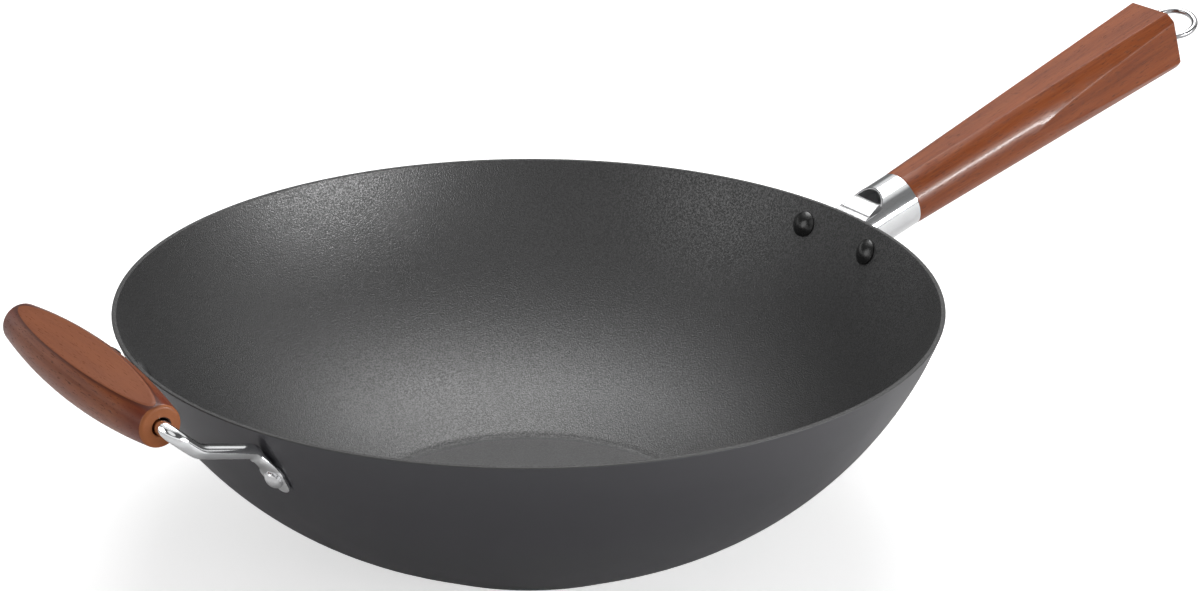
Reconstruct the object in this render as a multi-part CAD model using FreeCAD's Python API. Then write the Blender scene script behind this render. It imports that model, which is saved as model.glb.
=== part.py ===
import FreeCAD, Part
import math
import os
from FreeCAD import Vector

# Flat-bottomed stovetop wok, in millimetres.
# The origin is the centre of the underside of the flat base. +Z is up, the long handle
# points along +X, and the small helper handle is opposite it, on -X.

# Bowl, a spun steel sheet. Its wall is an arc in section, then a straight slope down to the base.
rim_radius = 178.0        # outside, at the top edge
bowl_depth = 104.0        # underside of the base to the rim
wall = 2.0                # sheet thickness
wall_arc_radius = 163.0   # outside of the curved wall
rim_lean = 19.1           # degrees that the wall leans out from upright at the rim
base_slope = 28.9         # degrees from level where the wall comes down to the base
base_bend = 6.0           # outside radius of the bend into the base
rim_round = 0.5

# Rivets, all four alike. The wide head is inside the bowl.
rivet_shank = 2.5         # radius
rivet_head = 6.0          # radius
rivet_head_height = 3.0
rivet_tail = 4.0          # radius of the closed end, outside the bowl
rivet_tail_height = 2.6
rivet_brim = 0.7          # upright edge of both ends, below the dome
rivet_seat = 0.12         # lift of the flat head off the hollow wall
rivet_fit = 0.05          # gap round the shank

# Long handle: its axis starts at the joint between ferrule and wood.
handle_tilt = 18.25       # degrees above level
joint_x = 209.95
joint_z = 104.3
wood_length = 170.6
wood_radius_front = 13.5
wood_radius_end = 19.2
top_flat_front = 12.9     # height of the top flat above the axis at the joint
top_flat_end = 15.4
side_flat_start = 74.6    # where the two side flats begin, along the axis
side_flat_end = 15.6      # distance of a side flat from the axis at the end
wood_edge = 1.5           # rounding of the end's edges
spigot_radius = 12.7      # the wood turned down to fit in the ferrule
spigot_length = 4.0

# Ferrule, a polished tube whose upper front is cut away in a scoop.
ferrule_radius = 13.5
ferrule_wall = 0.7
ferrule_reach = 60.0      # length before it is trimmed to the bracket
scoop_level = 7.6         # height above the axis where the front is cut flat
scoop_start = 26.0        # distance in front of the joint where the cut begins to rise
scoop_radius = 18.0

# Bracket, one strip of steel: a plate riveted to the wall, a fold just below the rim,
# a tongue that lies on the ferrule's cut edges, and a tab turned down inside it.
bracket_sheet = 1.6
bracket_rivet_angle = 7.45  # degrees each side of the handle, round the bowl
bracket_rivet_drop = 11.6   # below the rim
strip_foot = 8.0          # how far the strip runs down on the plate
tongue_half_width = 10.7  # before it is trimmed to the ferrule
tongue_tilt = 29.5        # degrees above level
tongue_enter = 18.5       # distance in front of the joint where it goes into the ferrule
tongue_fit = 0.1          # gap to the ferrule's bore from there on
fold_radius = 3.0         # on the side towards the bowl
fold_drop = 3.3           # below the rim, where the fold leaves the wall
groove_reach = 3.6        # groove across the tongue, this far outside the rim
groove_radius = 0.5
groove_depth = 0.4
tab_bend = 3.0            # outside radius
tab_face = 16.2           # distance in front of the joint of the tab's rear face
tab_depth = 8.0           # below the axis
ear_radius = 9.0          # plate round each rivet
chin_radius = 15.0        # plate under the ferrule
chin_drop = 23.0          # below the rim

# Tie rod through the wood, with a nut in the ferrule and an eye nut, the hanging ring, at the end.
rod_radius = 2.5
rod_nut_flats = 8.0
rod_nut_height = 4.0
rod_front = 24.0          # distance in front of the joint
rod_end_gap = 2.0         # from the rod's end to the end of the wood
wood_bore = 2.8           # radius
boss_radius = 4.0         # the eye nut's round boss, sunk in the wood
boss_length = 12.0
boss_fit = 0.1
boss_bottom_gap = 0.2
boss_proud = 0.8          # the boss stands out of the wood by this
ring_radius = 10.7        # middle of the wire
ring_wire = 1.5           # radius
ring_sink = 0.3           # the wire is let into the end of the wood's plane by this
ring_roll = 11.0          # degrees that the ring is turned about the handle's axis

# Helper handle: a round bar bent into a bail and flattened at its feet, with a turned
# wooden grip. It is riveted on a little off straight opposite the long handle.
helper_turn = -0.57       # degrees round the bowl
helper_x = -206.7
helper_z = bowl_depth + 12.0
helper_bar = 3.05         # radius
grip_half_length = 62.3
grip_radius = 13.4        # at the middle
grip_end_radius = 8.5
grip_edge = 1.6
grip_flat = 10.5          # distance of the flat from the grip's axis, at the middle
grip_flat_bow = 1.6       # the flat is that much nearer the axis at the ends
grip_flat_tilt = 11.5     # degrees that the flat leans out, away from the bowl
grip_bore_fit = 0.08      # the grip turns on the bar with this gap
grip_mouth_radius = 3.75  # wider mouth of the bore at each end
grip_mouth_depth = 12.0
arm_corner_y = 70.0
arm_knee = (-195.2, 69.0, 1.5)      # x, y, and height over the rim
arm_ankle = (-168.3, 61.8, -8.0)
arm_corner_bend = 6.5
arm_knee_bend = 14.0
arm_ankle_bend = 6.0
left_arm_drop = 2.5       # the knee and ankle of the +Y arm are that much lower
foot_angle = 20.75        # degrees from the grip's side, round the bowl
foot_drop = 22.3          # of the rivet, below the rim
# The pad is a leaf round two circles. Each is given from the rivet: away from the grip,
# up the wall, and radius.
pad_wide = (-0.2, 2.5, 5.8)
pad_tip = (2.4, -3.8, 3.2)
foot_sheet = 2.0
foot_edge = 0.6
throat = 0.2              # share of the way from ankle to pad where the bar begins to flatten
# Half width and half thickness of the flattening, in bar radii, from the throat (0) to the pad (1).
flare_shape = (
    (-0.25, 0.7, 0.69),
    (0.1, 1.2, 0.75),
    (0.38, 1.56, 0.6),
    (0.65, 1.75, 0.43),
    (1.0, 1.9, 0.31),
)

big = 400.0               # reaches past everything


def wall_centre():
    """Centre of the wall's arc: distance from the bowl's axis, and height."""
    lean = math.radians(rim_lean)
    return (rim_radius - wall_arc_radius * math.cos(lean), bowl_depth + wall_arc_radius * math.sin(lean))


def wall_dip(height, offset=0.0):
    """Angle below level, at the arc's centre, of the wall point at this height."""
    return math.asin((wall_centre()[1] - height) / (wall_arc_radius + offset))


def wall_point(dip, offset=0.0):
    """Point of the wall's section on the XZ plane, offset outwards from the outside."""
    x, z = wall_centre()
    reach = wall_arc_radius + offset
    return Vector(x + reach * math.cos(dip), 0, z - reach * math.sin(dip))


def arc_between(dip_a, dip_b, offset):
    middle = wall_point((dip_a + dip_b) / 2, offset)
    return Part.Arc(wall_point(dip_a, offset), middle, wall_point(dip_b, offset)).toShape()


def line(a, b):
    return Part.LineSegment(a, b).toShape()


def turned(edges, axis=Vector(0, 0, 1), degrees=360):
    """Solid of revolution about an axis through the origin."""
    return Part.Face(Part.Wire(edges)).revolve(Vector(0, 0, 0), axis, degrees)


def prism(points, direction):
    """Straight prism on a polygon."""
    return Part.Face(Part.makePolygon(points + points[:1])).extrude(direction)


def only_solid(shape):
    """The single solid of a boolean's result."""
    if len(shape.Solids) != 1:
        raise RuntimeError("expected one solid, got %d" % len(shape.Solids))
    return shape.Solids[0]


def mirrored(shape):
    return shape.mirror(Vector(0, 0, 0), Vector(0, 1, 0))


def on_wall(shape, angle, drop):
    """Places a shape made at the origin on the outside of the wall.

    Its +Z points into the bowl, its +Y up the wall and its +X round the bowl, clockwise seen
    from above. The angle is counted from +X, anticlockwise seen from above.
    """
    dip = wall_dip(bowl_depth - drop)
    turn = math.radians(angle)
    out = Vector(math.cos(turn), math.sin(turn), 0)
    inward = out * -math.cos(dip) + Vector(0, 0, math.sin(dip))
    clockwise = Vector(math.sin(turn), -math.cos(turn), 0)
    up_wall = inward.cross(clockwise)
    section = wall_point(dip)
    placed = shape.copy()
    rotation = FreeCAD.Rotation(clockwise, up_wall, inward, "ZXY")
    placed.Placement = FreeCAD.Placement(out * section.x + Vector(0, 0, section.z), rotation)
    return placed


def along_handle(shape):
    """Places a shape made with the handle's axis on +X and its joint at the origin."""
    placed = shape.copy()
    placed.rotate(Vector(0, 0, 0), Vector(0, 1, 0), -handle_tilt)
    placed.translate(Vector(joint_x, 0, joint_z))
    return placed


def rivet_places():
    """Angle round the bowl, drop below the rim and plate thickness of each rivet."""
    return {
        "bracket_rivet_right": (-bracket_rivet_angle, bracket_rivet_drop, bracket_sheet),
        "bracket_rivet_left": (bracket_rivet_angle, bracket_rivet_drop, bracket_sheet),
        "helper_rivet_right": (180 + helper_turn + foot_angle, foot_drop, foot_sheet),
        "helper_rivet_left": (180 + helper_turn - foot_angle, foot_drop, foot_sheet),
    }


def rivet_holes():
    """Cutters for the shanks, each with a flat seat for the tail on the plate's outer face."""
    holes = []
    for angle, drop, plate in rivet_places().values():
        hole = Part.makeCylinder(rivet_shank + rivet_fit, 20.0, Vector(0, 0, -10))
        seat = Part.makeCylinder(rivet_tail + rivet_fit, 8.0, Vector(0, 0, -plate - 8.0))
        holes.append(on_wall(hole.fuse(seat), angle, drop))
    return holes


def make_bowl():
    slope = math.radians(base_slope)
    rim_dip = math.radians(rim_lean)
    low_dip = math.pi / 2 - slope
    low_out = wall_point(low_dip)
    low_in = wall_point(low_dip, -wall)
    corner = low_out.x - low_out.z / math.tan(slope)
    bend_x = corner - base_bend * math.tan(slope / 2)

    def bend(angle, radius):
        return Vector(bend_x + radius * math.sin(angle), 0, base_bend - radius * math.cos(angle))

    def bend_arc(radius):
        return Part.Arc(bend(0, radius), bend(slope / 2, radius), bend(slope, radius)).toShape()

    inside_rim_dip = wall_dip(bowl_depth, -wall)
    inner_bend = base_bend - wall
    edges = [
        line(Vector(0, 0, 0), bend(0, base_bend)),
        bend_arc(base_bend),
        line(bend(slope, base_bend), low_out),
        arc_between(low_dip, rim_dip, 0),
        line(wall_point(rim_dip), wall_point(inside_rim_dip, -wall)),
        arc_between(inside_rim_dip, low_dip, -wall),
        line(low_in, bend(slope, inner_bend)),
        bend_arc(inner_bend),
        line(bend(0, inner_bend), Vector(0, 0, wall)),
        line(Vector(0, 0, wall), Vector(0, 0, 0)),
    ]
    bowl = turned(edges)
    rim_edges = [e for e in bowl.Edges if e.BoundBox.ZMin > bowl_depth - 0.01]
    bowl = bowl.makeFillet(rim_round, rim_edges)
    for hole in rivet_holes():
        bowl = bowl.cut(hole)
    return only_solid(bowl)


def dome(radius, height):
    """Cap of a sphere on its flat side at z = 0, with an upright brim below the curve."""
    rise = height - rivet_brim
    sphere = (radius * radius + rise * rise) / (2 * rise)
    ball = Part.makeSphere(sphere, Vector(0, 0, height - sphere))
    return ball.common(Part.makeCylinder(radius, height + 1.0))


def make_rivet(plate):
    """Rivet with its axis on Z, the outside of the bowl's wall at z = 0."""
    seat = wall + rivet_seat
    head = dome(rivet_head, rivet_head_height)
    head.translate(Vector(0, 0, seat))
    tail = dome(rivet_tail, rivet_tail_height)
    tail.rotate(Vector(0, 0, 0), Vector(1, 0, 0), 180)
    tail.translate(Vector(0, 0, -plate))
    shank = Part.makeCylinder(rivet_shank, seat + plate, Vector(0, 0, -plate))
    return only_solid(shank.fuse([head, tail]))


def make_long_grip():
    """Wooden handle: a tapered round blank with a flat along the top and one on each side."""
    along = Vector(1, 0, 0)
    blank = Part.makeCone(wood_radius_front, wood_radius_end, wood_length, Vector(0, 0, 0), along)
    top = prism(
        [
            Vector(0, -big, top_flat_front),
            Vector(wood_length, -big, top_flat_end),
            Vector(wood_length, -big, big),
            Vector(0, -big, big),
        ],
        Vector(0, 2 * big, 0),
    )
    growth = (wood_radius_end - wood_radius_front) / wood_length
    start_radius = wood_radius_front + growth * side_flat_start
    side = prism(
        [
            Vector(side_flat_start, start_radius, -big),
            Vector(wood_length, side_flat_end, -big),
            Vector(wood_length, big, -big),
            Vector(side_flat_start, big, -big),
        ],
        Vector(0, 0, 2 * big),
    )
    wood = blank.cut(top).cut(side).cut(mirrored(side))
    end_edges = [e for e in wood.Edges if e.BoundBox.XMin > wood_length - 0.01]
    wood = wood.makeFillet(wood_edge, end_edges)
    spigot = Part.makeCylinder(spigot_radius, spigot_length, Vector(-spigot_length, 0, 0), along)
    bore = Part.makeCylinder(wood_bore, 2 * big, Vector(-big, 0, 0), along)
    socket_start = wood_length - boss_length
    socket = Part.makeCylinder(boss_radius + boss_fit, big, Vector(socket_start, 0, 0), along)
    return along_handle(only_solid(wood.fuse(spigot).cut(bore).cut(socket)))


def slope_axes(degrees):
    """Unit vectors along a slope that climbs away from the bowl, and square to it."""
    tilt = math.radians(degrees)
    return Vector(math.cos(tilt), 0, math.sin(tilt)), Vector(-math.sin(tilt), 0, math.cos(tilt))


def strip_path():
    """Side view of the bracket's strip, on its face towards the bowl and the sky."""
    along, above = slope_axes(handle_tilt)
    tongue_along, tongue_above = slope_axes(tongue_tilt)
    joint = Vector(joint_x, 0, joint_z)
    leave_dip = wall_dip(bowl_depth - fold_drop)
    leave = wall_point(leave_dip)
    up_wall = Vector(math.sin(leave_dip), 0, math.cos(leave_dip))
    outward = Vector(math.cos(leave_dip), 0, -math.sin(leave_dip))
    low = leave - up_wall * strip_foot
    fold_centre = leave + outward * fold_radius
    fold_mid = fold_centre + (tongue_above - outward).normalize() * fold_radius
    fold_end = fold_centre + tongue_above * fold_radius
    # The tab's bend is as far along the tongue as puts the tab's face where it belongs.
    bend_from = fold_end - tongue_above * tab_bend - joint
    run = (-tab_face - tab_bend - bend_from.dot(along)) / tongue_along.dot(along)
    tab_start = fold_end + tongue_along * run
    tab_centre = tab_start - tongue_above * tab_bend
    tab_mid = tab_centre + (along + tongue_above).normalize() * tab_bend
    tab_end = tab_centre + along * tab_bend
    tab_foot = joint - along * tab_face - above * tab_depth
    return Part.Wire([
        line(low, leave),
        Part.Arc(leave, fold_mid, fold_end).toShape(),
        line(fold_end, tab_start),
        Part.Arc(tab_start, tab_mid, tab_end).toShape(),
        line(tab_end, tab_foot),
    ])


def groove_cutter():
    """Round bar that cuts the groove across the tongue, just outside the rim."""
    tongue = strip_path().OrderedEdges[2]
    start = tongue.valueAt(tongue.FirstParameter)
    along, above = slope_axes(tongue_tilt)
    run = (rim_radius + groove_reach - start.x) / along.x
    middle = start + along * run + above * (groove_radius - groove_depth)
    return Part.makeCylinder(groove_radius, 2 * big, middle - Vector(0, big, 0), Vector(0, 1, 0))


def make_strip():
    """The bracket's fold, tongue and tab: one bent strip, as wide as the ferrule round it."""
    section = strip_path().makeOffset2D(-bracket_sheet, fill=True, openResult=True)
    strip = section.extrude(Vector(0, 2 * tongue_half_width, 0))
    strip.translate(Vector(0, -tongue_half_width, 0))
    along = Vector(1, 0, 0)
    enter = Vector(-tongue_enter, 0, 0)
    outside = Part.makeCylinder(ferrule_radius, ferrule_reach, enter, along * -1)
    inside = Part.makeCylinder(ferrule_radius - ferrule_wall - tongue_fit, tongue_enter, enter, along)
    return strip.common(along_handle(outside.fuse(inside)))


def wall_layer(inner, outer):
    """Shell of revolution over the curved wall, between two offsets from its outside."""
    high = wall_dip(bowl_depth - 1.0)
    low = wall_dip(bowl_depth - chin_drop - 2 * chin_radius)
    return turned([
        arc_between(low, high, outer),
        line(wall_point(high, outer), wall_point(high, inner)),
        arc_between(high, low, inner),
        line(wall_point(low, inner), wall_point(low, outer)),
    ])


def bracket_outline():
    """Plate as seen along the handle: an ear round each rivet and a round chin below."""
    ear_z = bowl_depth - bracket_rivet_drop
    ear_y = wall_point(wall_dip(ear_z)).x * math.sin(math.radians(bracket_rivet_angle))
    chin_z = bowl_depth - chin_drop
    along = Vector(1, 0, 0)
    ears = [Part.makeCylinder(ear_radius, big, Vector(0, side * ear_y, ear_z), along) for side in (-1, 1)]
    chin = Part.makeCylinder(chin_radius, big, Vector(0, 0, chin_z), along)
    # The straight sides touch the ear's circle and the chin's.
    run = math.hypot(ear_y, ear_z - chin_z)
    lean = math.atan2(ear_z - chin_z, ear_y) - math.acos((chin_radius - ear_radius) / run)
    side = Vector(0, math.cos(lean), math.sin(lean))
    ear_touch = Vector(0, ear_y, ear_z) + side * ear_radius
    chin_touch = Vector(0, 0, chin_z) + side * chin_radius
    half = [Vector(0, ear_y, ear_z + ear_radius), ear_touch, chin_touch]
    other = [Vector(0, -p.y, p.z) for p in half]
    middle = prism(half + other[::-1], Vector(big, 0, 0))
    return middle.fuse(ears + [chin])


def make_bracket():
    plate = wall_layer(0, bracket_sheet).common(bracket_outline())
    along = Vector(1, 0, 0)
    hole_start = Vector(-tab_face - 2 * bracket_sheet, 0, 0)
    rod_hole = Part.makeCylinder(rod_radius + boss_fit, 4 * bracket_sheet, hole_start, along)
    bracket = plate.fuse(make_strip().cut(groove_cutter()).cut(along_handle(rod_hole)))
    for hole in rivet_holes():
        bracket = bracket.cut(hole)
    return only_solid(bracket.removeSplitter())


def make_ferrule():
    along = Vector(1, 0, 0)
    front = Vector(-ferrule_reach, 0, 0)
    tube = Part.makeCylinder(ferrule_radius, ferrule_reach, front, along)
    tube = tube.cut(Part.makeCylinder(ferrule_radius - ferrule_wall, ferrule_reach, front, along))
    centre = Vector(-scoop_start, -big, scoop_level + scoop_radius)
    rounding = Part.makeCylinder(scoop_radius, 2 * big, centre, Vector(0, 1, 0))
    flat = Part.makeBox(ferrule_reach, 2 * big, big, Vector(-scoop_start - ferrule_reach, -big, scoop_level))
    tube = along_handle(tube.cut(flat).cut(rounding))
    low_line = wall_dip(bowl_depth - 5 * ferrule_radius, bracket_sheet)
    high_line = wall_dip(bowl_depth + 2 * ferrule_radius, bracket_sheet)
    high = wall_point(high_line, bracket_sheet)
    low = wall_point(low_line, bracket_sheet)
    # Everything inside the plate's outer face, which the tube is trimmed to.
    bulk = turned([
        arc_between(low_line, high_line, bracket_sheet),
        line(high, Vector(0, 0, high.z)),
        line(Vector(0, 0, high.z), Vector(0, 0, low.z)),
        line(Vector(0, 0, low.z), low),
    ])
    return only_solid(tube.cut(bulk).cut(make_strip()))


def make_tie_rod():
    length = rod_front + wood_length - rod_end_gap
    return along_handle(Part.makeCylinder(rod_radius, length, Vector(-rod_front, 0, 0), Vector(1, 0, 0)))


def make_rod_nut():
    across = rod_nut_flats / 2 / math.cos(math.pi / 6)
    start = -tab_face - bracket_sheet - rod_nut_height
    corners = []
    for k in range(6):
        turn = math.radians(60 * k + 30)
        corners.append(Vector(start, across * math.cos(turn), across * math.sin(turn)))
    nut = prism(corners, Vector(rod_nut_height, 0, 0))
    bore = Part.makeCylinder(rod_radius + rivet_fit, big, Vector(-big / 2, 0, 0), Vector(1, 0, 0))
    return along_handle(nut.cut(bore))


def make_hanging_ring():
    """Eye nut: a wire ring that stands on a round boss, screwed on the end of the tie rod."""
    ring = Part.makeTorus(ring_radius, ring_wire)
    ring.translate(Vector(wood_length + ring_radius + ring_wire - ring_sink, 0, 0))
    along = Vector(1, 0, 0)
    boss_start = Vector(wood_length - boss_length + boss_bottom_gap, 0, 0)
    boss = boss_length - boss_bottom_gap + boss_proud
    eye = ring.fuse(Part.makeCylinder(boss_radius, boss, boss_start, along))
    bore_depth = boss_length - boss_bottom_gap - rod_end_gap + rivet_fit
    eye = eye.cut(Part.makeCylinder(rod_radius + rivet_fit, bore_depth, boss_start, along))
    eye.rotate(Vector(0, 0, 0), Vector(1, 0, 0), ring_roll)
    return along_handle(only_solid(eye.removeSplitter()))


def rounded_path(points, radii):
    """Wire through the points, with an arc of the given radius at each inner point."""
    edges = []
    start = points[0]
    for before, corner, after, radius in zip(points, points[1:], points[2:], radii):
        back = (before - corner).normalize()
        ahead = (after - corner).normalize()
        half = math.acos(back.dot(ahead)) / 2
        trim = radius / math.tan(half)
        bisector = (back + ahead).normalize()
        enter = corner + back * trim
        leave = corner + ahead * trim
        middle = corner + bisector * (radius / math.sin(half) - radius)
        edges.append(line(start, enter))
        edges.append(Part.Arc(enter, middle, leave).toShape())
        start = leave
    edges.append(line(start, points[-1]))
    return Part.Wire(edges)


def over_rim(point):
    return Vector(point[0], point[1], bowl_depth + point[2])


def swept(path, radius):
    start = path.OrderedVertexes[0].Point
    heading = path.OrderedEdges[0].tangentAt(path.OrderedEdges[0].FirstParameter)
    ring = Part.Wire(Part.makeCircle(radius, start, heading))
    return path.makePipeShell([ring], True, True)


def leaf(wide, tip, thickness):
    """Plate below the XY plane, with the outline of a belt round two circles."""
    centres = [Vector(x, y, -thickness) for x, y, radius in (wide, tip)]
    apart = centres[1] - centres[0]
    heading = math.atan2(apart.y, apart.x)
    spread = math.acos((wide[2] - tip[2]) / apart.Length)
    corners = []
    for centre, radius, sides in ((centres[0], wide[2], (1, -1)), (centres[1], tip[2], (-1, 1))):
        for side in sides:
            turn = heading + side * spread
            corners.append(centre + Vector(math.cos(turn), math.sin(turn), 0) * radius)
    plate = prism(corners, Vector(0, 0, thickness))
    wide_end = Part.makeCylinder(wide[2], thickness, centres[0])
    tip_end = Part.makeCylinder(tip[2], thickness, centres[1])
    return only_solid(plate.fuse([wide_end, tip_end]).removeSplitter())


def make_foot(ankle):
    """Flattened end of the bar, on the +Y side: a leaf-shaped pad and the flare that leads to it."""
    pad = leaf(pad_wide, pad_tip, foot_sheet)
    outline = [e for e in pad.Edges if e.BoundBox.ZLength < foot_edge]
    pad = pad.makeFillet(foot_edge, outline).Solids[0]
    pad = on_wall(pad, 180 - foot_angle, foot_drop)
    dip = wall_dip(bowl_depth - foot_drop)
    turn = math.radians(180 - foot_angle)
    out = Vector(math.cos(turn), math.sin(turn), 0) * math.cos(dip) - Vector(0, 0, math.sin(dip))
    middle = Part.Vertex(pad_wide[0], pad_wide[1], -foot_sheet / 2)
    centre = on_wall(middle, 180 - foot_angle, foot_drop).Point
    start = ankle + (centre - ankle) * throat
    heading = (centre - start).normalize()
    across = out.cross(heading).normalize()
    thick = heading.cross(across)
    sections = []
    for share, half_width, half_thick in flare_shape:
        middle = start + (centre - start) * share
        wide = middle + across * (helper_bar * half_width)
        tall = middle + thick * (helper_bar * half_thick)
        sections.append(Part.Wire(Part.Ellipse(wide, tall, middle).toShape()))
    return pad.fuse(Part.makeLoft(sections, True)), start


def make_arm(drop):
    """Foot of one arm and the points of its bar, both on the +Y side."""
    lower = Vector(0, 0, -drop)
    ankle = over_rim(arm_ankle) + lower
    foot, start = make_foot(ankle)
    return foot, [start, ankle, over_rim(arm_knee) + lower, Vector(helper_x, arm_corner_y, helper_z)]


def make_helper_rod():
    left_foot, left = make_arm(left_arm_drop)
    right_foot, right = make_arm(0)
    right = [Vector(p.x, -p.y, p.z) for p in right]
    bends = [arm_ankle_bend, arm_knee_bend, arm_corner_bend]
    bar = swept(rounded_path(left + right[::-1], bends + bends[::-1]), helper_bar)
    rod = turned_to_helper(bar.fuse([left_foot, mirrored(right_foot)]))
    for hole in rivet_holes():
        rod = rod.cut(hole)
    return only_solid(rod.removeSplitter())


def turned_to_helper(shape):
    placed = shape.copy()
    placed.rotate(Vector(0, 0, 0), Vector(0, 0, 1), helper_turn)
    return placed


def make_helper_grip():
    """Barrel-shaped wooden grip, with one long, slightly bowed flat on top."""
    along = Vector(0, 1, 0)
    end = grip_half_length
    edges = [
        line(Vector(0, -end, 0), Vector(grip_end_radius, -end, 0)),
        Part.Arc(
            Vector(grip_end_radius, -end, 0), Vector(grip_radius, 0, 0), Vector(grip_end_radius, end, 0)
        ).toShape(),
        line(Vector(grip_end_radius, end, 0), Vector(0, end, 0)),
        line(Vector(0, end, 0), Vector(0, -end, 0)),
    ]
    grip = turned(edges, along)
    end_edges = [e for e in grip.Edges if e.BoundBox.YLength < 0.01 and e.BoundBox.XLength > 1]
    grip = grip.makeFillet(grip_edge, end_edges)
    bow = (end * end + grip_flat_bow * grip_flat_bow) / (2 * grip_flat_bow)
    flat = Part.makeBox(4 * end, 4 * end, 2 * end, Vector(-2 * end, -2 * end, 0))
    flat = flat.cut(Part.makeCylinder(bow, 4 * end, Vector(-2 * end, 0, grip_flat - bow), Vector(1, 0, 0)))
    flat.rotate(Vector(0, 0, 0), along, -grip_flat_tilt)
    grip = grip.cut(flat)
    grip = grip.cut(Part.makeCylinder(helper_bar + grip_bore_fit, 2 * big, Vector(0, -big, 0), along))
    for side in (-1, 1):
        start = Vector(0, side * (end - grip_mouth_depth), 0)
        grip = grip.cut(Part.makeCylinder(grip_mouth_radius, big, start, along * side))
    grip.translate(Vector(helper_x, 0, helper_z))
    return turned_to_helper(only_solid(grip))


def make_parts():
    parts = {
        "bowl": make_bowl(),
        "handle_bracket": make_bracket(),
        "handle_ferrule": make_ferrule(),
        "long_handle_grip": make_long_grip(),
        "tie_rod": make_tie_rod(),
        "tie_rod_nut": make_rod_nut(),
        "hanging_ring": make_hanging_ring(),
        "helper_rod": make_helper_rod(),
        "helper_grip": make_helper_grip(),
    }
    for name, (angle, drop, plate) in rivet_places().items():
        parts[name] = on_wall(make_rivet(plate), angle, drop)
    return parts


if __name__ == "__main__":
    os.makedirs("parts", exist_ok=True)
    for name, shape in make_parts().items():
        shape.exportStep("parts/%s.step" % name)
        print("%-20s %9.1f mm3  valid %s" % (name, shape.Volume, shape.isValid()))
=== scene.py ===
import math
import bpy
from mathutils import Matrix, Vector

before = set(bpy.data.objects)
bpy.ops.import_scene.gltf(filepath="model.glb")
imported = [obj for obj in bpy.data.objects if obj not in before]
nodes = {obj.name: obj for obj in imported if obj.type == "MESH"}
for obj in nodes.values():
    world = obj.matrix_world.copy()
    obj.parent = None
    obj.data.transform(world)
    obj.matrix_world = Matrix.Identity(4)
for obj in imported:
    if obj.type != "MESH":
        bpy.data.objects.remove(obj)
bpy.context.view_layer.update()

print("frame loaded:", len(nodes), "nodes")


def feed(tree, socket, value):
    # a socket of another node is linked, anything else is set as the plain value
    if isinstance(value, bpy.types.NodeSocket):
        tree.links.new(value, socket)
    else:
        socket.default_value = value


def addNode(tree, kind, settings=None, **inputs):
    # an underscore in an input's name stands for a space
    node = tree.nodes.new(kind)
    for name, value in (settings or {}).items():
        setattr(node, name, value)
    for name, value in inputs.items():
        feed(tree, node.inputs[name.replace("_", " ")], value)
    return node


def mathNode(tree, operation, a, b=0.0, clamp=False):
    node = tree.nodes.new("ShaderNodeMath")
    node.operation = operation
    node.use_clamp = clamp
    feed(tree, node.inputs[0], a)
    feed(tree, node.inputs[1], b)
    return node.outputs[0]


def times(tree, a, b):
    return mathNode(tree, "MULTIPLY", a, b)


def plus(tree, a, b, clamp=False):
    return mathNode(tree, "ADD", a, b, clamp)


def minus(tree, a, b, clamp=False):
    return mathNode(tree, "SUBTRACT", a, b, clamp)


def lengthOf(tree, a, b):
    return mathNode(tree, "SQRT", plus(tree, times(tree, a, a), times(tree, b, b)))


def vectorNode(tree, operation, a, b):
    node = tree.nodes.new("ShaderNodeVectorMath")
    node.operation = operation
    feed(tree, node.inputs[0], a)
    feed(tree, node.inputs[1], b)
    return node.outputs


def scaled(tree, vector, size):
    node = addNode(tree, "ShaderNodeVectorMath", {"operation": "SCALE"}, Vector=vector, Scale=size)
    return node.outputs[0]


def remap(tree, value, low, high, newLow=0.0, newHigh=1.0, smooth=False):
    node = tree.nodes.new("ShaderNodeMapRange")
    node.interpolation_type = "SMOOTHSTEP" if smooth else "LINEAR"
    feed(tree, node.inputs["Value"], value)
    feed(tree, node.inputs["From Min"], low)
    feed(tree, node.inputs["From Max"], high)
    feed(tree, node.inputs["To Min"], newLow)
    feed(tree, node.inputs["To Max"], newHigh)
    return node.outputs["Result"]


def between(tree, mask, ends):
    return remap(tree, mask, 0.0, 1.0, *ends)


def mixColour(tree, factor, a, b):
    node = tree.nodes.new("ShaderNodeMix")
    node.data_type = "RGBA"
    node.clamp_factor = True
    feed(tree, node.inputs["Factor"], factor)
    feed(tree, node.inputs["A"], a)
    feed(tree, node.inputs["B"], b)
    return node.outputs["Result"]


def noise(tree, vector, scale=1.0, detail=2.0, roughness=0.5, distortion=0.0):
    node = addNode(tree, "ShaderNodeTexNoise", {"noise_dimensions": "3D"}, Vector=vector, Scale=scale,
                   Detail=detail, Roughness=roughness, Distortion=distortion)
    return node.outputs["Fac"]


def bumped(tree, height, bump):
    strength, distance = bump
    node = addNode(tree, "ShaderNodeBump", Height=height, Strength=strength, Distance=distance)
    return node.outputs["Normal"]


def objectCoords(tree):
    return tree.nodes.new("ShaderNodeTexCoord").outputs["Object"]


def turned(tree, vector, turns):
    node = addNode(tree, "ShaderNodeMapping", {"vector_type": "POINT"}, Vector=vector)
    node.inputs["Rotation"].default_value = turns
    return node.outputs[0]


def newMaterial(name):
    material = bpy.data.materials.new(name)
    material.use_nodes = True
    tree = material.node_tree
    tree.nodes.clear()
    shader = tree.nodes.new("ShaderNodeBsdfPrincipled")
    out = tree.nodes.new("ShaderNodeOutputMaterial")
    tree.links.new(shader.outputs[0], out.inputs["Surface"])
    return material, tree, shader


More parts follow.
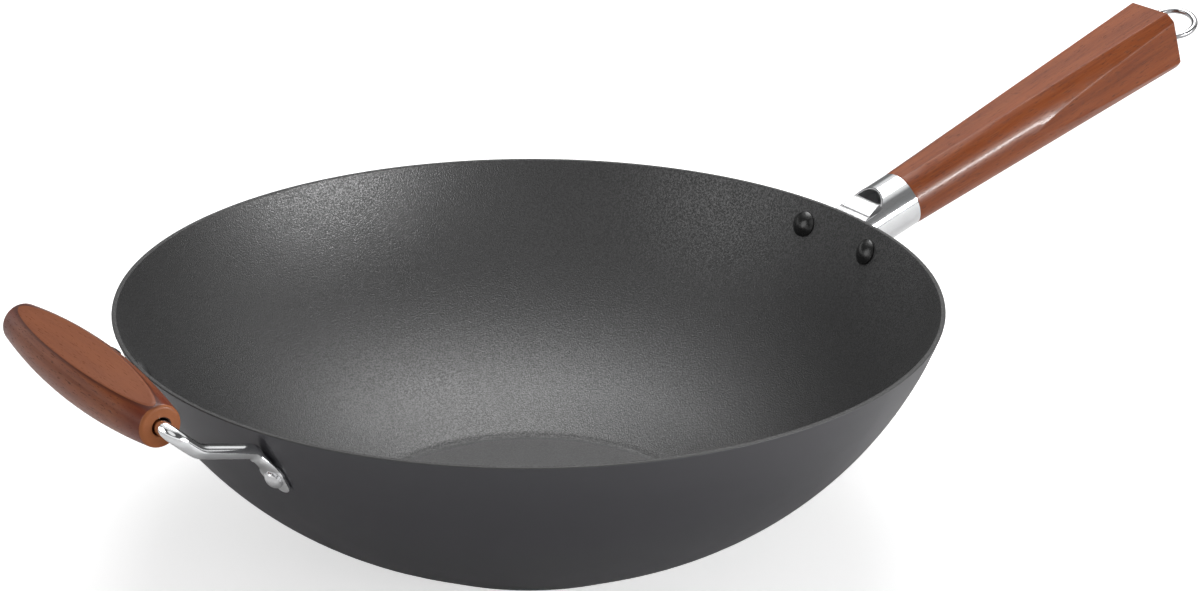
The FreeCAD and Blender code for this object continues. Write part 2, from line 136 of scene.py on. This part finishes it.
def newGroup(name, inputs, outputs):
    tree = bpy.data.node_groups.new(name, "ShaderNodeTree")
    for label, kind, value in inputs:
        socket = tree.interface.new_socket(name=label, in_out="INPUT", socket_type=kind)
        if value is not None:
            socket.default_value = value
    for label in outputs:
        tree.interface.new_socket(name=label, in_out="OUTPUT", socket_type="NodeSocketFloat")
    return tree, tree.nodes.new("NodeGroupInput").outputs, tree.nodes.new("NodeGroupOutput").inputs


def useGroup(tree, group, **values):
    node = tree.nodes.new("ShaderNodeGroup")
    node.node_tree = group
    for name, value in values.items():
        feed(tree, node.inputs[name], value)
    return node.outputs


smudge = {
    "broad": (1.0, 3.0, 0.55, 0.6),    # scale, detail, roughness, distortion
    "edges": (0.35, 0.65),
    "fine": (22.0, 2.0, 0.6),
}


def makeSmudgeGroup():
    # soft patches of wiping marks, and a fine breakup inside them
    inputs = [("Vector", "NodeSocketVector", None), ("Size", "NodeSocketFloat", 20.0)]
    tree, given, result = newGroup("smudges", inputs, ["Patches", "Fine"])
    sized = scaled(tree, given["Vector"], given["Size"])
    broad = noise(tree, sized, *smudge["broad"])
    feed(tree, result["Patches"], remap(tree, broad, *smudge["edges"], smooth=True))
    feed(tree, result["Fine"], noise(tree, sized, *smudge["fine"]))
    return tree


speckle = {
    "soft": (1.0, 3.0, 0.62),          # scale, detail and roughness of the uneven ground
    "softShare": 0.6,                  # of the height; the round dots give the rest
    "toneEdges": (0.40, 0.60),
    "dotScale": 1.3,
    "dotReach": 0.75,
    # light dots: partly the coating's own flecks, partly painted glints
    "fleckAndGlintNoise": (2.3, 1.0),          # scale and detail
    "fleckAndGlintEdges": (0.66, 0.78),
}


def makeSpeckleGroup():
    # grains of a sprayed coating: close dots of uneven height and tone
    inputs = [("Vector", "NodeSocketVector", None), ("Grain", "NodeSocketFloat", 900.0)]
    tree, given, result = newGroup("speckle", inputs, ["Tone", "Height", "FlecksAndGlints"])
    sized = scaled(tree, given["Vector"], given["Grain"])
    soft = noise(tree, sized, *speckle["soft"])
    dots = addNode(tree, "ShaderNodeTexVoronoi", {"feature": "F1"}, Vector=sized,
                   Scale=speckle["dotScale"])
    rounded = remap(tree, dots.outputs["Distance"], 0.0, speckle["dotReach"], 1.0, 0.0, smooth=True)
    share = speckle["softShare"]
    feed(tree, result["Height"], plus(tree, times(tree, soft, share), times(tree, rounded, 1.0 - share)))
    feed(tree, result["Tone"], remap(tree, soft, *speckle["toneEdges"]))
    flecksAndGlints = noise(tree, sized, *speckle["fleckAndGlintNoise"])
    feed(tree, result["FlecksAndGlints"], remap(tree, flecksAndGlints, *speckle["fleckAndGlintEdges"], smooth=True))
    return tree


woodMarks = {
    # patterns in a metre, along the fibres and twice across them
    "wander": (7.0, 30.0, 30.0),
    "bands": (9.0, 150.0, 150.0),
    "fibres": (40.0, 1100.0, 1100.0),
    "pores": (240.0, 2500.0, 2500.0),
    # detail and roughness of each pattern
    "wanderDetail": (2.0, 0.5),
    "bandDetail": (4.0, 0.55),
    "fibreDetail": (3.0, 0.6),
    "poreDetail": (1.0, 0.5),
    "wanderShift": (3.0, 2.0),         # how far the bands wander, in their own scale
    "edges": (0.3, 0.7),
    "poreEdges": (0.61, 0.71),
}


def makeGrainGroup():
    # wood with its fibres along X: broad bands, fine fibres and short dark pores
    inputs = [("Vector", "NodeSocketVector", None), ("Band", "NodeSocketFloat", 1.0)]
    tree, given, result = newGroup("woodGrain", inputs, ["Bands", "Fibres", "Pores"])

    def stretched(pattern):
        return vectorNode(tree, "MULTIPLY", given["Vector"], woodMarks[pattern])[0]

    wander = noise(tree, stretched("wander"), 1.0, *woodMarks["wanderDetail"])
    shift = tree.nodes.new("ShaderNodeCombineXYZ")
    for axis, amount in zip("YZ", woodMarks["wanderShift"]):
        feed(tree, shift.inputs[axis], times(tree, wander, amount))
    shifted = vectorNode(tree, "ADD", stretched("bands"), shift.outputs[0])[0]
    bands = noise(tree, shifted, given["Band"], *woodMarks["bandDetail"])
    feed(tree, result["Bands"], remap(tree, bands, *woodMarks["edges"]))
    fibres = noise(tree, stretched("fibres"), 1.0, *woodMarks["fibreDetail"])
    feed(tree, result["Fibres"], remap(tree, fibres, *woodMarks["edges"]))
    pores = noise(tree, stretched("pores"), 1.0, *woodMarks["poreDetail"])
    feed(tree, result["Pores"], remap(tree, pores, *woodMarks["poreEdges"], smooth=True))
    return tree


wallSheet = {
    "arcCentre": (0.02398, 0.15734),   # distance from the bowl's axis, height
    "middleRadius": 0.162,             # middle of the sheet on the curved wall
    "slopeStart": 0.0764,              # where the straight slope rises from the base
    "slopeRise": 0.552,
    "slopeTop": 0.0135,                # height where the slope ends
    "halfSheet": 0.00112,
}


def makeInsideGroup():
    # Inside is 1 on the inner side of the bowl's sheet and in the bowl, 0 outside it
    tree, given, result = newGroup("insideBowl", [("Vector", "NodeSocketVector", None)],
                                   ["Inside", "Across", "Height"])
    split = addNode(tree, "ShaderNodeSeparateXYZ", Vector=given["Vector"])
    x, y, z = (split.outputs[k] for k in range(3))
    across = lengthOf(tree, x, y)
    centreAcross, centreHeight = wallSheet["arcCentre"]
    reach = lengthOf(tree, minus(tree, across, centreAcross), minus(tree, z, centreHeight))
    insideArc = mathNode(tree, "LESS_THAN", reach, wallSheet["middleRadius"])
    slope = times(tree, minus(tree, across, wallSheet["slopeStart"]), wallSheet["slopeRise"])
    overSlope = minus(tree, z, mathNode(tree, "MAXIMUM", slope, 0.0))
    aboveSlope = mathNode(tree, "GREATER_THAN", overSlope, wallSheet["halfSheet"])
    low = mathNode(tree, "LESS_THAN", z, wallSheet["slopeTop"])
    high = minus(tree, 1.0, low)
    inside = plus(tree, times(tree, low, aboveSlope), times(tree, high, insideArc), clamp=True)
    feed(tree, result["Inside"], inside)
    feed(tree, result["Across"], across)
    feed(tree, result["Height"], z)
    return tree


insideGroup = makeInsideGroup()
smudgeGroup = makeSmudgeGroup()
speckleGroup = makeSpeckleGroup()
grainGroup = makeGrainGroup()
print("shared effects made")


coating = {
    "inside": (0.002, 0.002, 0.0022, 1.0),
    "insideGrain": (0.043, 0.043, 0.044, 1.0),
    "grainsPerMetre": 1150.0,
    # up the wall the grain's contrast and its light dots grow: the speckle is the coating's own, its
    # growth with height is painted glint where the upper wall catches the light
    "grainHeight": (0.012, 0.070),     # the grains stand out more from here up to here
    "grainContrast": (0.62, 1.55),     # at those heights
    "flecksAndGlints": (0.17, 0.17, 0.174, 1.0),
    "flecksAndGlintsShare": (0.20, 0.85),       # at those heights
    "insideRoughness": (0.56, 0.31),   # on dark and on pale grains
    # painted reflection: the flat base inside gets a lighter, even tone that stands in for the light it
    # mirrors; its lower roughness and shallower grain are its own finish
    "baseSheenTone": (0.034, 0.034, 0.035, 1.0),
    "baseSheenShare": 0.8,
    "baseRoughness": -0.03,            # added on the flat base inside
    "baseRadius": 0.0757,
    "baseEdge": (-0.0025, 0.0010),     # from that radius, where the flat's look starts to fade and ends
    # the duller bend round the flat, from that radius: fades in, is full, is still full, is gone
    "crease": (-0.0042, -0.0026, 0.0006, 0.0034),
    "creaseRoughness": 0.20,
    "outside": (0.036, 0.035, 0.042, 1.0),
    "outsideRoughness": (0.385, 0.43),
    "smudgesPerMetre": 14.0,
    "rim": (0.010, 0.010, 0.010, 1.0),
    "rimHeight": 0.1036,
    "rimRoughness": 0.25,
    "grainDepth": (0.12, 1.0),         # outside and inside
    "baseDepth": 0.35,                 # taken off on the flat
    "bump": (0.5, 0.00035),            # strength, distance
    "specular": 0.8,
}


def makeCoating():
    material, tree, shader = newMaterial("bowlCoating")
    coords = objectCoords(tree)
    side = useGroup(tree, insideGroup, Vector=coords)
    inside, across, height = side["Inside"], side["Across"], side["Height"]
    rimTop = mathNode(tree, "GREATER_THAN", height, coating["rimHeight"])
    baseStart, baseEnd = (coating["baseRadius"] + edge for edge in coating["baseEdge"])
    base = times(tree, inside, remap(tree, across, baseStart, baseEnd, 1.0, 0.0, smooth=True))
    fadeIn, full, fadeOut, gone = (coating["baseRadius"] + edge for edge in coating["crease"])
    crease = times(tree, remap(tree, across, fadeIn, full, smooth=True),
                   remap(tree, across, fadeOut, gone, 1.0, 0.0, smooth=True))

    def byHeight(ends):
        return remap(tree, height, *coating["grainHeight"], *ends)

    grain = useGroup(tree, speckleGroup, Vector=coords, Grain=coating["grainsPerMetre"])
    marks = useGroup(tree, smudgeGroup, Vector=coords, Size=coating["smudgesPerMetre"])
    # contrast is raised or lowered about the middle tone
    grainTone = times(tree, minus(tree, grain["Tone"], 0.5), byHeight(coating["grainContrast"]))
    grainTone = plus(tree, grainTone, 0.5, clamp=True)
    insideTone = mixColour(tree, grainTone, coating["inside"], coating["insideGrain"])
    # painted glints: light dots, partly the coating's own flecks, spread more thickly up the wall
    flecksAndGlints = times(tree, grain["FlecksAndGlints"], byHeight(coating["flecksAndGlintsShare"]))
    insideTone = mixColour(tree, flecksAndGlints, insideTone, coating["flecksAndGlints"])
    # painted reflection: the lighter tone on the flat base
    baseSheenShare = times(tree, base, coating["baseSheenShare"])
    insideTone = mixColour(tree, baseSheenShare, insideTone, coating["baseSheenTone"])
    tone = mixColour(tree, inside, coating["outside"], insideTone)
    tone = mixColour(tree, rimTop, tone, coating["rim"])
    feed(tree, shader.inputs["Base Color"], tone)

    insideRough = plus(tree, between(tree, grainTone, coating["insideRoughness"]),
                       times(tree, base, coating["baseRoughness"]))
    insideRough = plus(tree, insideRough, times(tree, crease, coating["creaseRoughness"]))
    mixed = addNode(tree, "ShaderNodeMix", {"data_type": "FLOAT"})
    feed(tree, mixed.inputs["Factor"], inside)
    feed(tree, mixed.inputs["A"], between(tree, marks["Patches"], coating["outsideRoughness"]))
    feed(tree, mixed.inputs["B"], insideRough)
    rough = plus(tree, mixed.outputs[0], times(tree, rimTop, coating["rimRoughness"]))
    feed(tree, shader.inputs["Roughness"], rough)

    depth = between(tree, inside, coating["grainDepth"])
    depth = minus(tree, depth, times(tree, base, coating["baseDepth"]))
    grainHeight = times(tree, grain["Height"], depth)
    feed(tree, shader.inputs["Normal"], bumped(tree, grainHeight, coating["bump"]))
    shader.inputs["Specular IOR Level"].default_value = coating["specular"]
    return material


wood = {
    "darkBand": (0.165, 0.032, 0.0085, 1.0),
    "lightBand": (0.285, 0.068, 0.0185, 1.0),
    "fibre": (0.42, 0.13, 0.036, 1.0),
    "fibreShare": 0.35,
    "pore": (0.045, 0.010, 0.005, 1.0),
    "poreShare": 0.6,
    "endShare": 0.85,
    "roughness": (0.34, 0.6),          # clear of the pores and in them
    "endRoughness": 0.15,
    "coat": (0.07, 0.13),
    "coatRoughness": 0.12,
    "specular": 0.2,
    "smudgesPerMetre": 30.0,
    "fibreHeight": 0.25,
    "poreDepth": 0.8,
    "bump": (0.35, 0.00012),           # strength, distance
    "softEdge": 0.0011,                # radius that edges are shaded with
    "edgeSamples": 6,
}


def makeWood(name, piece, finishMarks):
    # centre is a point on the piece's axis, and the turns lay the fibres along that axis
    material, tree, shader = newMaterial(name)
    centred = vectorNode(tree, "SUBTRACT", objectCoords(tree), piece["centre"])[0]
    vector = turned(tree, centred, piece["turns"])
    grain = useGroup(tree, grainGroup, Vector=vector, Band=piece["bandScale"])
    marks = useGroup(tree, smudgeGroup, Vector=vector, Size=wood["smudgesPerMetre"])
    tone = mixColour(tree, grain["Bands"], wood["darkBand"], wood["lightBand"])
    tone = mixColour(tree, times(tree, grain["Fibres"], wood["fibreShare"]), tone, wood["fibre"])
    tone = mixColour(tree, times(tree, grain["Pores"], wood["poreShare"]), tone, wood["pore"])
    along = addNode(tree, "ShaderNodeSeparateXYZ", Vector=vector).outputs[0]
    atEnd = mathNode(tree, "GREATER_THAN", mathNode(tree, "ABSOLUTE", along), piece["endReach"])
    tone = mixColour(tree, times(tree, atEnd, wood["endShare"]), tone, piece["endTone"])
    rough = between(tree, grain["Pores"], wood["roughness"])
    rough = plus(tree, rough, times(tree, atEnd, wood["endRoughness"]))
    coat = between(tree, marks["Patches"], wood["coat"])
    tone, rough, coat = finishMarks(tree, centred, along, tone, rough, coat)
    feed(tree, shader.inputs["Base Color"], tone)
    feed(tree, shader.inputs["Roughness"], rough)
    feed(tree, shader.inputs["Coat Weight"], coat)
    height = minus(tree, times(tree, grain["Fibres"], wood["fibreHeight"]),
                   times(tree, grain["Pores"], wood["poreDepth"]))
    softened = addNode(tree, "ShaderNodeBevel", {"samples": wood["edgeSamples"]},
                       Radius=wood["softEdge"])
    strength, distance = wood["bump"]
    lacquer = addNode(tree, "ShaderNodeBump", Height=height, Strength=strength, Distance=distance,
                      Normal=softened.outputs[0])
    feed(tree, shader.inputs["Normal"], lacquer.outputs["Normal"])
    shader.inputs["Specular IOR Level"].default_value = wood["specular"]
    shader.inputs["Coat Roughness"].default_value = wood["coatRoughness"]
    return material


# painted light in the ferrule's bore: where it starts along the wood, and its pale grey
spigotPaintedLight = {"depth": 0.0006, "tone": (0.78, 0.78, 0.79, 1.0)}


def paintSpigotLight(tree, centred, along, tone, rough, coat):
    # painted light: the wood's end inside the ferrule is painted pale grey, so that the shaded bore
    # reads lighter
    paleEnd = mathNode(tree, "LESS_THAN", along, -spigotPaintedLight["depth"])
    return mixColour(tree, paleEnd, tone, spigotPaintedLight["tone"]), rough, coat


gripFlat = {
    "normal": (-0.1994, 0.0, 0.9799),
    "distance": 0.0105,                # of the flat from the axis, at the middle
    "bow": 1.2137,                     # radius that the flat is bowed to
    "skin": 0.00012,                   # how far under the flat still counts as flat
    "sanded": (0.30, 0.098, 0.040, 1.0),
    "sandedShare": 0.55,
    "sandedRoughness": 0.16,
    "sandedCoat": (0.03, -0.06),       # added to the lacquer beside the flat and on it
    # painted shade: a dark line just under the flat's edge
    "line": (0.075, 0.014, 0.006, 1.0),
    "lineShare": 0.8,
    "lineEdges": (-0.0011, -0.0002),   # heights over the flat
    "endTint": (0.155, 0.020, 0.006, 1.0),
    "endEdges": (0.040, 0.060),        # distances from the middle
    "endShare": 0.75,
    "endShareOff": 0.6,                # taken off that on the flat
    # painted shade in the grip's mouth round the rod: its radius from the axis and its dark tone
    "endFace": 0.0612,
    "mouth": 0.0038,
    "mouthTone": (0.030, 0.007, 0.004, 1.0),
}


def sandedFlat(tree, centred, along, tone, rough, coat):
    # the flat is duller and browner with a dark line of painted shade round it, and the ends are darker
    lift = vectorNode(tree, "DOT_PRODUCT", centred, gripFlat["normal"])["Value"]
    fall = times(tree, times(tree, along, along), 0.5 / gripFlat["bow"])
    above = plus(tree, minus(tree, lift, gripFlat["distance"]), fall)
    flat = mathNode(tree, "GREATER_THAN", above, -gripFlat["skin"])
    line = minus(tree, remap(tree, above, *gripFlat["lineEdges"], smooth=True), flat, clamp=True)
    fromMiddle = mathNode(tree, "ABSOLUTE", along)
    endShare = minus(tree, gripFlat["endShare"], times(tree, flat, gripFlat["endShareOff"]))
    barrelEnd = times(tree, remap(tree, fromMiddle, *gripFlat["endEdges"], smooth=True), endShare)
    barrelEnd = times(tree, barrelEnd, mathNode(tree, "LESS_THAN", fromMiddle, gripFlat["endFace"]))
    tone = mixColour(tree, times(tree, flat, gripFlat["sandedShare"]), tone, gripFlat["sanded"])
    tone = mixColour(tree, barrelEnd, tone, gripFlat["endTint"])
    tone = mixColour(tree, times(tree, line, gripFlat["lineShare"]), tone, gripFlat["line"])
    split = addNode(tree, "ShaderNodeSeparateXYZ", Vector=centred).outputs
    # painted shade: the wood inside the mouth is painted nearly black
    mouth = mathNode(tree, "LESS_THAN", lengthOf(tree, split["X"], split["Z"]), gripFlat["mouth"])
    tone = mixColour(tree, mouth, tone, gripFlat["mouthTone"])
    rough = plus(tree, rough, times(tree, flat, gripFlat["sandedRoughness"]))
    coat = plus(tree, coat, between(tree, flat, gripFlat["sandedCoat"]))
    return tone, rough, coat


steel = {
    # tint and roughness of each steel
    "polished": ((0.92, 0.93, 0.94, 1.0), 0.08),
    # the ring's tint is much darker than the polished steel's: painted shade for the dark surroundings
    # it mirrors
    "ring": ((0.47, 0.47, 0.48, 1.0), 0.09),
    "sheet": ((0.60, 0.60, 0.61, 1.0), 0.2),
    "smudgesPerMetre": 60.0,
    "smudgeTint": 0.93,                # of the tint, where it is smudged
    "smudgeRoughness": 0.05,           # added there
    "bump": (0.06, 0.0002),            # strength, distance
}


def makeSteel(name, tint, roughness):
    material, tree, shader = newMaterial(name)
    marks = useGroup(tree, smudgeGroup, Vector=objectCoords(tree), Size=steel["smudgesPerMetre"])
    smudged = tuple(steel["smudgeTint"] * c for c in tint[:3]) + (1.0,)
    feed(tree, shader.inputs["Base Color"], mixColour(tree, marks["Patches"], tint, smudged))
    rough = between(tree, marks["Patches"], (roughness, roughness + steel["smudgeRoughness"]))
    feed(tree, shader.inputs["Roughness"], rough)
    shader.inputs["Metallic"].default_value = 1.0
    feed(tree, shader.inputs["Normal"], bumped(tree, marks["Fine"], steel["bump"]))
    return material


handleTilt = math.radians(18.25)
ferrule = {
    "joint": (0.20995, 0.0, 0.1043),   # where the ferrule meets the wood, on their axis
    "boreEdge": 0.01305,
    "bright": (0.86, 0.87, 0.88, 1.0),
    "smudged": (0.80, 0.81, 0.82, 1.0),
    "paintedBoreLight": (0.88, 0.88, 0.89, 1.0),
    # short of full metal outside and nearly none in the bore: painted light on the steel
    "metallic": (0.84, 0.05),          # outside and in the bore
    "roughness": (0.07, 0.12),
    "boreRoughness": 0.35,
}


def makeFerruleSteel():
    # polished outside, with a pale diffuse share that lightens its dark reflections as painted light;
    # dull drawn steel in the bore, painted pale and hardly metallic so that its shade reads lighter
    material, tree, shader = newMaterial("ferruleSteel")
    coords = objectCoords(tree)
    marks = useGroup(tree, smudgeGroup, Vector=coords, Size=steel["smudgesPerMetre"])
    fromJoint = vectorNode(tree, "SUBTRACT", coords, ferrule["joint"])[0]
    aligned = turned(tree, fromJoint, (0.0, handleTilt, 0.0))
    split = addNode(tree, "ShaderNodeSeparateXYZ", Vector=aligned).outputs
    fromAxis = lengthOf(tree, split["Y"], split["Z"])
    bore = mathNode(tree, "LESS_THAN", fromAxis, ferrule["boreEdge"])
    outer = mixColour(tree, marks["Patches"], ferrule["bright"], ferrule["smudged"])
    feed(tree, shader.inputs["Base Color"], mixColour(tree, bore, outer, ferrule["paintedBoreLight"]))
    feed(tree, shader.inputs["Metallic"], between(tree, bore, ferrule["metallic"]))
    rough = between(tree, marks["Patches"], ferrule["roughness"])
    rough = plus(tree, rough, times(tree, bore, ferrule["boreRoughness"]))
    feed(tree, shader.inputs["Roughness"], rough)
    feed(tree, shader.inputs["Normal"], bumped(tree, marks["Fine"], steel["bump"]))
    return material


rivets = {
    "smudgesPerMetre": 90.0,
    # the two tones of each finish, and its roughness clear of the smudges and in them
    "black": ((0.010, 0.010, 0.010, 1.0), (0.022, 0.022, 0.022, 1.0)),
    "blackRoughness": (0.2, 0.3),
    "blackBump": (0.2, 0.0002),
    "bright": ((0.74, 0.74, 0.75, 1.0), (0.68, 0.68, 0.69, 1.0)),
    "brightRoughness": (0.2, 0.27),
    "brightBump": (0.1, 0.0002),
    "coatRoughness": 0.2,              # added on the coated heads
}


def makeRivetBlack():
    material, tree, shader = newMaterial("rivetBlack")
    marks = useGroup(tree, smudgeGroup, Vector=objectCoords(tree), Size=rivets["smudgesPerMetre"])
    feed(tree, shader.inputs["Base Color"], mixColour(tree, marks["Fine"], *rivets["black"]))
    feed(tree, shader.inputs["Roughness"], between(tree, marks["Patches"], rivets["blackRoughness"]))
    feed(tree, shader.inputs["Normal"], bumped(tree, marks["Fine"], rivets["blackBump"]))
    return material


def makeRivetBright():
    # bare metal outside the bowl, coated like the bowl on the head inside it
    material, tree, shader = newMaterial("rivetBright")
    coords = objectCoords(tree)
    inside = useGroup(tree, insideGroup, Vector=coords)["Inside"]
    marks = useGroup(tree, smudgeGroup, Vector=coords, Size=rivets["smudgesPerMetre"])
    bare = mixColour(tree, marks["Patches"], *rivets["bright"])
    coated = mixColour(tree, marks["Fine"], coating["inside"], coating["insideGrain"])
    feed(tree, shader.inputs["Base Color"], mixColour(tree, inside, bare, coated))
    feed(tree, shader.inputs["Metallic"], minus(tree, 1.0, inside))
    rough = between(tree, marks["Patches"], rivets["brightRoughness"])
    rough = plus(tree, rough, times(tree, inside, rivets["coatRoughness"]))
    feed(tree, shader.inputs["Roughness"], rough)
    feed(tree, shader.inputs["Normal"], bumped(tree, marks["Fine"], rivets["brightBump"]))
    return material


longHandle = {
    "centre": ferrule["joint"],
    "turns": (0.0, handleTilt, 0.0),
    "endReach": 0.1701,                # end grain lies further along from the centre than this
    "endTone": (0.30, 0.10, 0.04, 1.0),
    "bandScale": 1.0,
}
helperGrip = {
    "centre": (-0.20669, 0.00206, 0.116),
    "turns": (0.0, 0.0, math.radians(-89.43)),
    "endReach": 0.0613,
    "endTone": (0.40, 0.13, 0.042, 1.0),
    "bandScale": 1.2,
}

bowlCoating = makeCoating()
handleWood = makeWood("handleWood", longHandle, paintSpigotLight)
gripWood = makeWood("gripWood", helperGrip, sandedFlat)
polished = makeSteel("polishedSteel", *steel["polished"])
shadedRingSteel = makeSteel("shadedRingSteel", *steel["ring"])
ferruleSteel = makeFerruleSteel()
sheetSteel = makeSteel("sheetSteel", *steel["sheet"])
rivetBright = makeRivetBright()
rivetBlack = makeRivetBlack()

finishes = {
    "bowl": bowlCoating,
    "handle_bracket": sheetSteel,
    "handle_ferrule": ferruleSteel,
    "long_handle_grip": handleWood,
    "tie_rod": sheetSteel,
    "tie_rod_nut": sheetSteel,
    "hanging_ring": shadedRingSteel,
    "helper_rod": polished,
    "helper_grip": gripWood,
    "bracket_rivet_left": rivetBlack,
    "bracket_rivet_right": rivetBlack,
    "helper_rivet_left": rivetBright,
    "helper_rivet_right": rivetBright,
}
for name, material in finishes.items():
    mesh = nodes[name].data
    mesh.materials.clear()
    mesh.materials.append(material)
print("finishes on", len(finishes), "nodes")


view = {
    "eye": (-0.6488, -0.9614, 0.5630),
    "forward": (0.5398, 0.7567, -0.3688),
    "roll": math.radians(0.40),
    "lens": 87.0,
    "sensor": 36.0,
    "clip": (0.05, 30.0),
}


def addCamera():
    data = bpy.data.cameras.new("camera")
    data.lens = view["lens"]
    data.sensor_width = view["sensor"]
    data.clip_start, data.clip_end = view["clip"]
    camera = bpy.data.objects.new("camera", data)
    bpy.context.scene.collection.objects.link(camera)
    forward = Vector(view["forward"]).normalized()
    right = forward.cross(Vector((0.0, 0.0, 1.0))).normalized()
    up = right.cross(forward)
    cosine, sine = math.cos(view["roll"]), math.sin(view["roll"])
    side = right * cosine + up * sine
    top = up * cosine - right * sine
    turn = Matrix((side, top, -forward)).transposed()
    camera.matrix_world = Matrix.Translation(view["eye"]) @ turn.to_4x4()
    bpy.context.scene.camera = camera


paper = {
    "size": 12.0,
    "height": -0.0002,                 # just under the base, so the two don't flicker
    "tone": (0.86, 0.86, 0.86, 1.0),
    "roughness": 0.9,
    "specular": 0.1,
    "glow": 0.62,                      # only where the camera sees the floor itself
}


def addFloor():
    bpy.ops.object.select_all(action="DESELECT")
    bpy.ops.mesh.primitive_plane_add(size=paper["size"], location=(0.0, 0.0, paper["height"]))
    floor = bpy.context.object
    floor.name = "studioFloor"
    material, tree, shader = newMaterial("floorPaper")
    shader.inputs["Base Color"].default_value = paper["tone"]
    shader.inputs["Roughness"].default_value = paper["roughness"]
    shader.inputs["Specular IOR Level"].default_value = paper["specular"]
    glow = addNode(tree, "ShaderNodeEmission", Color=(1.0, 1.0, 1.0, 1.0))
    path = tree.nodes.new("ShaderNodeLightPath")
    feed(tree, glow.inputs["Strength"], times(tree, path.outputs["Is Camera Ray"], paper["glow"]))
    both = tree.nodes.new("ShaderNodeAddShader")
    tree.links.new(shader.outputs[0], both.inputs[0])
    tree.links.new(glow.outputs[0], both.inputs[1])
    out = [node for node in tree.nodes if node.type == "OUTPUT_MATERIAL"][0]
    tree.links.new(both.outputs[0], out.inputs["Surface"])
    floor.data.materials.append(material)


lampsAcross = (0.8141, -0.5807, 0.0)   # the lamps' widths run this way
# each lamp's place, target, width and height, and watts
lamps = {
    "overheadBox": ((0.33, 0.33, 1.16), (0.0, 0.0, 0.0), (0.9, 0.8), 8.5),
    "overheadSheen": ((0.46, 0.40, 1.10), (0.0, 0.0, 0.0), (1.0, 0.5), 5.0),
    "sideBox": ((1.15, -1.15, 0.42), (0.0, 0.0, 0.06), (0.5, 0.5), 2.6),
    "sideSheen": ((0.76, -1.34, 0.41), (0.0, 0.0, 0.09), (0.7, 0.10), 22.0),
    "leftSheen": ((-1.36, 0.20, 0.74), (0.0, 0.0, 0.06), (1.0, 0.9), 6.5),
    "frontBox": ((0.45, -1.35, 0.30), (0.20, 0.0, 0.10), (0.9, 0.20), 4.0),
}
# these show only in gloss and add no plain light
sheenLamps = ("overheadSheen", "sideSheen", "leftSheen")


def addLamp(name, place, target, size, watts):
    data = bpy.data.lights.new(name, "AREA")
    data.shape = "RECTANGLE"
    data.size, data.size_y = size
    data.energy = watts
    lamp = bpy.data.objects.new(name, data)
    bpy.context.scene.collection.objects.link(lamp)
    back = (Vector(place) - Vector(target)).normalized()
    across = Vector(lampsAcross)
    across = (across - back * across.dot(back)).normalized()
    turn = Matrix((across, back.cross(across), back)).transposed()
    lamp.matrix_world = Matrix.Translation(place) @ turn.to_4x4()
    lamp.visible_diffuse = name not in sheenLamps


worldLight = 0.42
# what shiny surfaces mirror: a soft white ceiling, a white sweep low down, dark room between them
mirrorRoom = {
    "room": 0.08,
    "ceiling": (0.18, 0.28, 0.94),
    "ceilingEdge": (0.66, 0.86),       # cosines where it fades in and is full
    "ceilingLight": 0.85,
    "sweepHeight": (0.30, 0.17),       # heights of a direction where the sweep fades in and is full
    "sweepGap": (0.96, 0.28, 0.0),     # the sweep ends towards this side
    "sweepGapEdge": (0.55, 0.85),
    # light boxes beside the ceiling: direction, cosines where each fades in and is full
    "boxes": [((-0.38, -0.62, 0.69), 0.90, 0.97),
              ((0.82, 0.02, 0.57), 0.93, 0.975),
              ((0.74, -0.65, 0.16), 0.91, 0.975)],
    # a dark ring of the room, low behind the object
    "bandDirection": (0.5398, 0.7567, -0.3688),
    "bandOuter": (0.76, 0.82),
    "bandInner": (0.975, 0.99),
    "bandDepth": 0.85,
}


def addWorld():
    world = bpy.data.worlds.new("studioWorld")
    world.use_nodes = True
    bpy.context.scene.world = world
    tree = world.node_tree
    tree.nodes.clear()
    direction = tree.nodes.new("ShaderNodeTexCoord").outputs["Generated"]

    def facing(towards):
        return vectorNode(tree, "DOT_PRODUCT", direction, Vector(towards).normalized())["Value"]

    def larger(a, b):
        return mathNode(tree, "MAXIMUM", a, b)

    ceiling = remap(tree, facing(mirrorRoom["ceiling"]), *mirrorRoom["ceilingEdge"], smooth=True)
    for towards, fadeIn, full in mirrorRoom["boxes"]:
        ceiling = larger(ceiling, remap(tree, facing(towards), fadeIn, full, smooth=True))
    ceiling = times(tree, ceiling, mirrorRoom["ceilingLight"])
    height = addNode(tree, "ShaderNodeSeparateXYZ", Vector=direction).outputs["Z"]
    sweep = remap(tree, height, *mirrorRoom["sweepHeight"], smooth=True)
    gap = remap(tree, facing(mirrorRoom["sweepGap"]), *mirrorRoom["sweepGapEdge"], 1.0, 0.0, smooth=True)
    lit = between(tree, larger(ceiling, times(tree, sweep, gap)), (mirrorRoom["room"], 1.0))
    ahead = facing(mirrorRoom["bandDirection"])
    band = times(tree, remap(tree, ahead, *mirrorRoom["bandOuter"], smooth=True),
                 remap(tree, ahead, *mirrorRoom["bandInner"], 1.0, 0.0, smooth=True))
    mirrored = times(tree, lit, between(tree, band, (1.0, 1.0 - mirrorRoom["bandDepth"])))

    path = tree.nodes.new("ShaderNodeLightPath").outputs
    white = addNode(tree, "ShaderNodeBackground", Color=(1.0, 1.0, 1.0, 1.0),
                    Strength=larger(mirrored, path["Is Camera Ray"]))
    light = addNode(tree, "ShaderNodeBackground", Color=(1.0, 1.0, 1.0, 1.0), Strength=worldLight)
    seen = larger(path["Is Camera Ray"], larger(path["Is Glossy Ray"], path["Is Transmission Ray"]))
    pick = tree.nodes.new("ShaderNodeMixShader")
    feed(tree, pick.inputs[0], seen)
    tree.links.new(light.outputs[0], pick.inputs[1])
    tree.links.new(white.outputs[0], pick.inputs[2])
    out = tree.nodes.new("ShaderNodeOutputWorld")
    tree.links.new(pick.outputs[0], out.inputs["Surface"])


addCamera()
addFloor()
for name, settings in lamps.items():
    addLamp(name, *settings)
addWorld()
bpy.context.scene.view_settings.view_transform = "Standard"
print("studio set")
